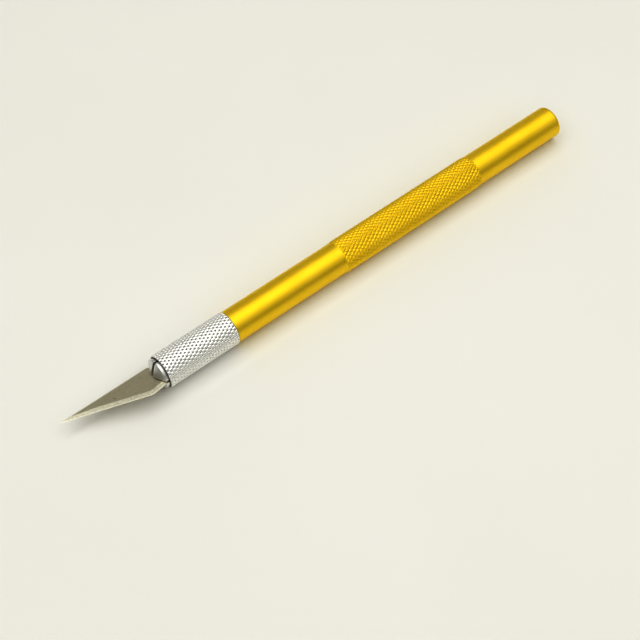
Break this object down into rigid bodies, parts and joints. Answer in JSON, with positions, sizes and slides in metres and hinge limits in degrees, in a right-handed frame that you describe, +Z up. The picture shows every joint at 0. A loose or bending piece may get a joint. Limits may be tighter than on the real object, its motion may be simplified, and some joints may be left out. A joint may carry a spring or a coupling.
{
  "type": "craft knife",
  "caption": "Slim round craft knife with a knurled gold handle, knurled silver clamping collar, split collet and pointed replaceable blade.",
  "frame": {"origin": "on the ground below the middle of the knife's length, on the handle's axis in plan", "axes": "+X along the handle towards its rear end, tip towards -X, cutting edge towards -Y, +Z up; the knife lies on its knurled bands with the blade rolled 13 degrees about the handle's axis, edge side up"},
  "size_m": [0.1448, 0.0086, 0.0083],
  "materials": {
    "gold_anodised": "satin gold anodised",
    "bare_aluminium": "bare, knurled",
    "collet_metal": "turned and sawn",
    "blade_steel": "ground carbon steel"
  },
  "bodies": {
    "handle": {"handle": "gold_anodised"},
    "collar": {"collar": "bare_aluminium"},
    "collet": {"collet_shank": "collet_metal"},
    "blade": {"blade": "blade_steel"},
    "jaw_upper_edge": {"jaw_upper_edge": "collet_metal"},
    "jaw_upper_spine": {"jaw_upper_spine": "collet_metal"},
    "jaw_lower_spine": {"jaw_lower_spine": "collet_metal"},
    "jaw_lower_edge": {"jaw_lower_edge": "collet_metal"}
  },
  "joints": [
    {"name": "collar_turn", "type": "hinge", "parent": "handle", "child": "collar", "pos_m": [-0.02835, 0, 0.00417], "axis": [-1, 0, 0], "range_deg": [0, 720.5]},
    {"name": "collet_advance", "type": "slide", "parent": "collar", "child": "collet", "axis": [-1, 0, 0], "range_m": [0, 0.0016]},
    {"name": "jaw_upper_edge_flex", "type": "hinge", "parent": "collet", "child": "jaw_upper_edge", "pos_m": [-0.03355, -0.00164, 0.0068], "axis": [0, 0.848, 0.5299], "range_deg": [0, 1.1]},
    {"name": "jaw_upper_spine_flex", "type": "hinge", "parent": "collet", "child": "jaw_upper_spine", "pos_m": [-0.03355, 0.00263, 0.00581], "axis": [0, 0.5299, -0.848], "range_deg": [0, 1.1]},
    {"name": "jaw_lower_spine_flex", "type": "hinge", "parent": "collet", "child": "jaw_lower_spine", "pos_m": [-0.03355, 0.00164, 0.00154], "axis": [0, -0.848, -0.5299], "range_deg": [0, 1.1]},
    {"name": "jaw_lower_edge_flex", "type": "hinge", "parent": "collet", "child": "jaw_lower_edge", "pos_m": [-0.03355, -0.00263, 0.00253], "axis": [0, -0.5299, 0.848], "range_deg": [0, 1.1]},
    {"name": "blade_slide", "type": "slide", "parent": "collet", "child": "blade", "axis": [-1, 0, 0], "range_m": [0, 0.018]}
  ],
  "couplings": [
    {"joint": "collar_turn", "follows": "collet_advance", "rad_per_m": 7854},
    {"joint": "jaw_upper_edge_flex", "follows": "collet_advance", "rad_per_m": 11.999},
    {"joint": "jaw_upper_spine_flex", "follows": "collet_advance", "rad_per_m": 11.999},
    {"joint": "jaw_lower_spine_flex", "follows": "collet_advance", "rad_per_m": 11.999},
    {"joint": "jaw_lower_edge_flex", "follows": "collet_advance", "rad_per_m": 11.999}
  ]
}
